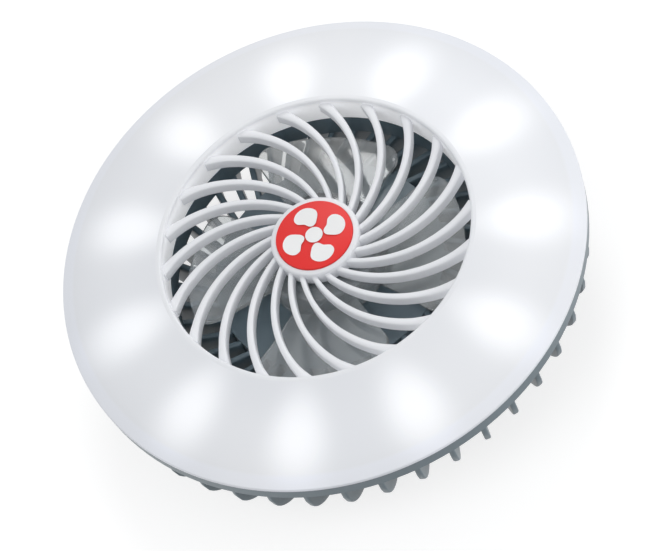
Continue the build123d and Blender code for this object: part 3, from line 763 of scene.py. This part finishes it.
def make_grille_hub():
    """The hub of the grille: a shallow cup that the badge sits in."""
    low = rib_top - rib_depth
    seat = badge_bottom
    inner = badge_radius + badge_play
    profile = [(hub_radius, low)] + broken_edge(hub_radius, hub_top)
    profile += [(inner, hub_top), (inner, seat), (hub_bore, seat), (hub_bore, seat - hub_floor),
                (hub_recess_radius, seat - hub_floor), (hub_recess_radius, low)]
    hub = lathe(profile, small_ring_segments)
    settle(hub, "grille_hub", "housing", "white")
    soften(hub, hub_sharpness)
    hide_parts("front_grille")


# ---------------------------------------------------------------- the badge and its fan sign
def make_badge():
    """The red disc, with a softened edge."""
    profile = [(badge_centre, badge_bottom), (badge_radius, badge_bottom)]
    profile += [(badge_radius - inwards, badge_face - down) for inwards, down in badge_edge]
    profile.append((badge_centre, badge_face))
    badge = lathe(profile, small_ring_segments)
    pick(badge, lambda place: math.hypot(place.x, place.y) < badge_centre_reach)
    bpy.ops.mesh.merge(type="COLLAPSE")
    bpy.ops.object.mode_set(mode="OBJECT")
    tidy_normals(badge)
    settle(badge, "red_badge", "housing", "red")
    soften(badge, badge_sharpness)
    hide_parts("hub_badge")


def flat_print(segments, radius, x, y):
    """A flat disc on the badge's face."""
    disc = added(bpy.ops.mesh.primitive_circle_add, vertices=segments, radius=radius,
                 fill_type="NGON", location=(x, y, badge_face))
    apply_place(disc)
    return disc


def raise_print(flat):
    """Gives a flat print its thickness, up to the badge's height."""
    only(flat)
    bpy.ops.object.mode_set(mode="EDIT")
    bpy.ops.mesh.select_all(action="SELECT")
    bpy.ops.mesh.extrude_region_move()
    bpy.ops.transform.translate(value=(0, 0, print_thickness))
    bpy.ops.object.mode_set(mode="OBJECT")
    tidy_normals(flat)


def make_petal():
    """One printed blade of the fan sign: a disc drawn in to a narrow root and leaned over."""
    petal = flat_print(petal_segments, petal_radius, petal_offset, petal_place)
    lowest = petal_place - petal_radius
    pick(petal, lambda place: place.y < lowest + petal_root_depth)
    bpy.ops.transform.resize(value=(petal_root_narrowing, 1, 1),
                             center_override=(0, lowest, badge_face),
                             use_proportional_edit=True, proportional_edit_falloff="SMOOTH",
                             proportional_size=petal_narrowing_reach)
    bpy.ops.transform.translate(value=(petal_lean, petal_root - lowest, 0),
                                use_proportional_edit=True, proportional_edit_falloff="SMOOTH",
                                proportional_size=petal_pull_reach)
    bpy.ops.object.mode_set(mode="OBJECT")
    raise_print(petal)
    petal.data.transform(Matrix.Rotation(petal_turn, 4, "Z"))
    return petal


def make_sign():
    """Leaning blades round a disc, printed on the badge."""
    petals = make_petal()
    copies_around(petals, petal_count)
    settle(petals, "badge_sign_petals", "housing", "print")
    disc = flat_print(sign_disc_segments, sign_disc_radius, 0, 0)
    raise_print(disc)
    settle(disc, "badge_sign_disc", "housing", "print")


# ---------------------------------------------------------------- fins on the back
def fin_place(radius):
    """Plan of a fin's middle line: it leans from the radius by the same angle all the way."""
    turned = math.degrees(math.tan(math.radians(fin_lean))) * math.log(fin_tip / radius)
    return polar(radius, fin_tip_angle + turned)


def fin_sheet_point(along, up):
    """A point of a fin's middle sheet: shares of its length, hub to tip, and of its height."""
    hub_end, bend, tip = fin_place(vent_inner), fin_place(vent_outer), fin_place(fin_tip)
    if along <= fin_hub_share:
        place = hub_end.lerp(bend, along / fin_hub_share)
        low, high = fin_bottom, fin_top
    else:
        step = (along - fin_hub_share) / (1 - fin_hub_share)
        share = step * (1 + fin_crowding - fin_crowding * step)
        place = bend.lerp(tip, share)
        left = (tip - bend).length * (1 - share)
        low = fin_bottom
        if left < fin_corner:
            low += fin_corner - math.sqrt(fin_corner ** 2 - (fin_corner - left) ** 2)
        high = fin_top + (place.length - vent_outer) * dish_slope
    return Vector((place.x, place.y, low + (high - low) * up))


def make_fins():
    """One plate drawn to the fin's outline, thickened and rounded, then copied round."""
    fin = draw_sheet(fin_columns, fin_rows, fin_sheet_point)
    thicken(fin, fin_width, fin_rounding, fin_rounding_segments, fin_edge_angle, clamp=False)
    copies_around(fin, fin_count)
    settle(fin, "leaning_fins", "housing", "slate")
    soften(fin, fin_sharpness)
    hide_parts("back_fins")


# ---------------------------------------------------------------- screws of the rear cover
def make_cover_screws():
    """The cover's screws, with a cross recess cut into each head."""
    screws = smooth_copy("cover_screws")
    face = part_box("cover_screws")[0][2]
    for turned in recess_turns:
        bars = []
        for angle in screw_angles:
            bar = added(bpy.ops.mesh.primitive_cube_add, size=1,
                        location=polar(screw_circle, angle, face),
                        rotation=(0, 0, math.radians(angle + turned)))
            bar.scale = (recess_length, recess_width, 2 * recess_depth)
            bars.append(bar)
        for bar in bars:
            cut = screws.modifiers.new("recess", "BOOLEAN")
            cut.object = bar
            cut.operation = "DIFFERENCE"
            cut.solver = "EXACT"
            only(screws)
            bpy.ops.object.modifier_apply(modifier="recess")
            bpy.data.objects.remove(bar)
    soften(screws, screw_sharpness)


# ---------------------------------------------------------------- clear rotor
def blade_point(across, out):
    """A point of the blade's middle sheet: shares of its sweep and of its reach."""
    round_share = (1 - math.cos(math.pi * across)) / 2
    sweep = math.radians(blade_tip_sweep)
    from_straight = rotor_tip * sweep * round_share
    from_swept = rotor_tip * sweep * (1 - round_share)
    reach = rotor_tip
    for corner, distance in ((blade_corner, from_straight), (blade_nose, from_swept)):
        if distance < corner:
            reach = rotor_tip - corner + math.sqrt(corner ** 2 - (corner - distance) ** 2)
    radius = blade_root + (reach - blade_root) * out
    share = (radius - blade_root) / (rotor_tip - blade_root)
    widened = (blade_tip_sweep - blade_sweep) * share ** blade_widening_power
    angle = -math.radians(blade_sweep + widened) * round_share
    half = rotor_tip * math.sin(sweep / 2)
    side = radius * math.sin(angle + sweep / 2) / half
    height = blade_middle + blade_hollow * (side * side - 1) + blade_rise * side
    return Vector((radius * math.cos(angle), radius * math.sin(angle), height))


def make_blades():
    """One hollow blade, drawn to its outline, thickened and rounded, then copied round."""
    blades = draw_sheet(blade_columns, blade_rows, blade_point)
    thicken(blades, blade_thickness, blade_rounding, blade_rounding_segments, blade_edge_angle,
            clamp=True)
    blades.data.transform(Matrix.Rotation(math.radians(blade_start), 4, "Z"))
    copies_around(blades, blade_count)
    settle(blades, "rotor_blades", "rotor", "clear")
    soften(blades, blade_sharpness)
    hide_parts("rotor")


def make_rotor_cap():
    """The cap that carries the blades and sits on the shaft."""
    inner = rotor_hub_radius - rotor_hub_wall
    bore = shaft_radius + bore_play
    profile = [(bore, rotor_boss_bottom), (rotor_boss_radius, rotor_boss_bottom),
               (rotor_boss_radius, rotor_hub_under), (inner, rotor_hub_under),
               (inner, rotor_hub_bottom), (rotor_hub_radius, rotor_hub_bottom)]
    profile += broken_edge(rotor_hub_radius, rotor_hub_top)
    profile.append((bore, rotor_hub_top))
    cap = lathe(profile, small_ring_segments)
    settle(cap, "rotor_cap", "rotor", "clear")
    soften(cap, cap_sharpness)
    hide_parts("rotor")


# ---------------------------------------------------------------- floor, light and camera
def seen_directly(nodes, links):
    """1 for rays from the camera, and for mirrored and transmitted ones."""
    rays = nodes.new("ShaderNodeLightPath")
    both = number(nodes, links, "MAXIMUM", rays.outputs["Is Camera Ray"],
                  rays.outputs["Is Glossy Ray"])
    return number(nodes, links, "MAXIMUM", both, rays.outputs["Is Transmission Ray"])


def make_floor():
    """A pale floor whose shine is seen, straight or in the plastic, but lights nothing."""
    floor = added(bpy.ops.mesh.primitive_plane_add, size=floor_size,
                  location=(0, 0, -floor_drop))
    floor.name = "floor"
    material, nodes, links = new_material("pale_floor")
    output = nodes["Material Output"]
    nodes.remove(nodes["Principled BSDF"])
    matte = nodes.new("ShaderNodeBsdfDiffuse")
    matte.inputs["Color"].default_value = floor_colour
    shine = nodes.new("ShaderNodeEmission")
    shine.inputs["Color"].default_value = white
    strength = number(nodes, links, "MULTIPLY", seen_directly(nodes, links), floor_shine)
    links.new(strength, shine.inputs["Strength"])
    both = nodes.new("ShaderNodeAddShader")
    links.new(matte.outputs[0], both.inputs[0])
    links.new(shine.outputs[0], both.inputs[1])
    links.new(both.outputs[0], output.inputs["Surface"])
    floor.data.materials.append(material)


def make_world():
    """A pale sky: full strength where it's seen, less where it lights."""
    world = bpy.data.worlds.new("studio")
    world.use_nodes = True
    nodes, links = world.node_tree.nodes, world.node_tree.links
    back = nodes["Background"]
    back.inputs["Color"].default_value = world_colour
    seen = seen_directly(nodes, links)
    unseen = number(nodes, links, "SUBTRACT", 1.0, seen)
    lit = number(nodes, links, "MULTIPLY", unseen, world_strength)
    links.new(number(nodes, links, "ADD", lit, seen), back.inputs["Strength"])
    bpy.context.scene.world = world


def make_lamps():
    """Round lamps, each aimed at its target."""
    for name, place, target, width, power in lamps:
        bpy.ops.object.light_add(type="AREA", location=place)
        lamp = bpy.context.object
        lamp.name = name
        lamp.data.shape = "DISK"
        lamp.data.size = width
        lamp.data.energy = power
        aim = Vector(target) - Vector(place)
        lamp.rotation_euler = aim.to_track_quat("-Z", "Y").to_euler()


def make_camera():
    """Long lens, above the front edge, rolled to the left."""
    data = bpy.data.cameras.new("camera")
    data.lens = camera_lens
    data.sensor_width = camera_sensor
    data.sensor_fit = "HORIZONTAL"
    data.clip_start = camera_clip
    camera = bpy.data.objects.new("camera", data)
    bpy.context.scene.collection.objects.link(camera)
    right = Vector(camera_right).normalized()
    forward = Vector(camera_forward).normalized()
    up = right.cross(forward).normalized()
    right = forward.cross(up)
    matrix = Matrix((right, up, -forward)).transposed().to_4x4()
    matrix.translation = Vector(camera_place)
    camera.matrix_world = matrix
    bpy.context.scene.camera = camera


# ---------------------------------------------------------------- making
make_camera()
make_floor()
make_world()
make_lamps()
dress_nodes()
for node_name in ("back_shell", "battery_housing", "rear_cover", "hanging_hook"):
    smooth_copy(node_name)
make_lamp_cover()
make_collar()
make_ribs()
make_grille_hub()
make_badge()
make_sign()
make_fins()
make_cover_screws()
make_blades()
make_rotor_cap()

bpy.context.scene.view_settings.view_transform = "Standard"
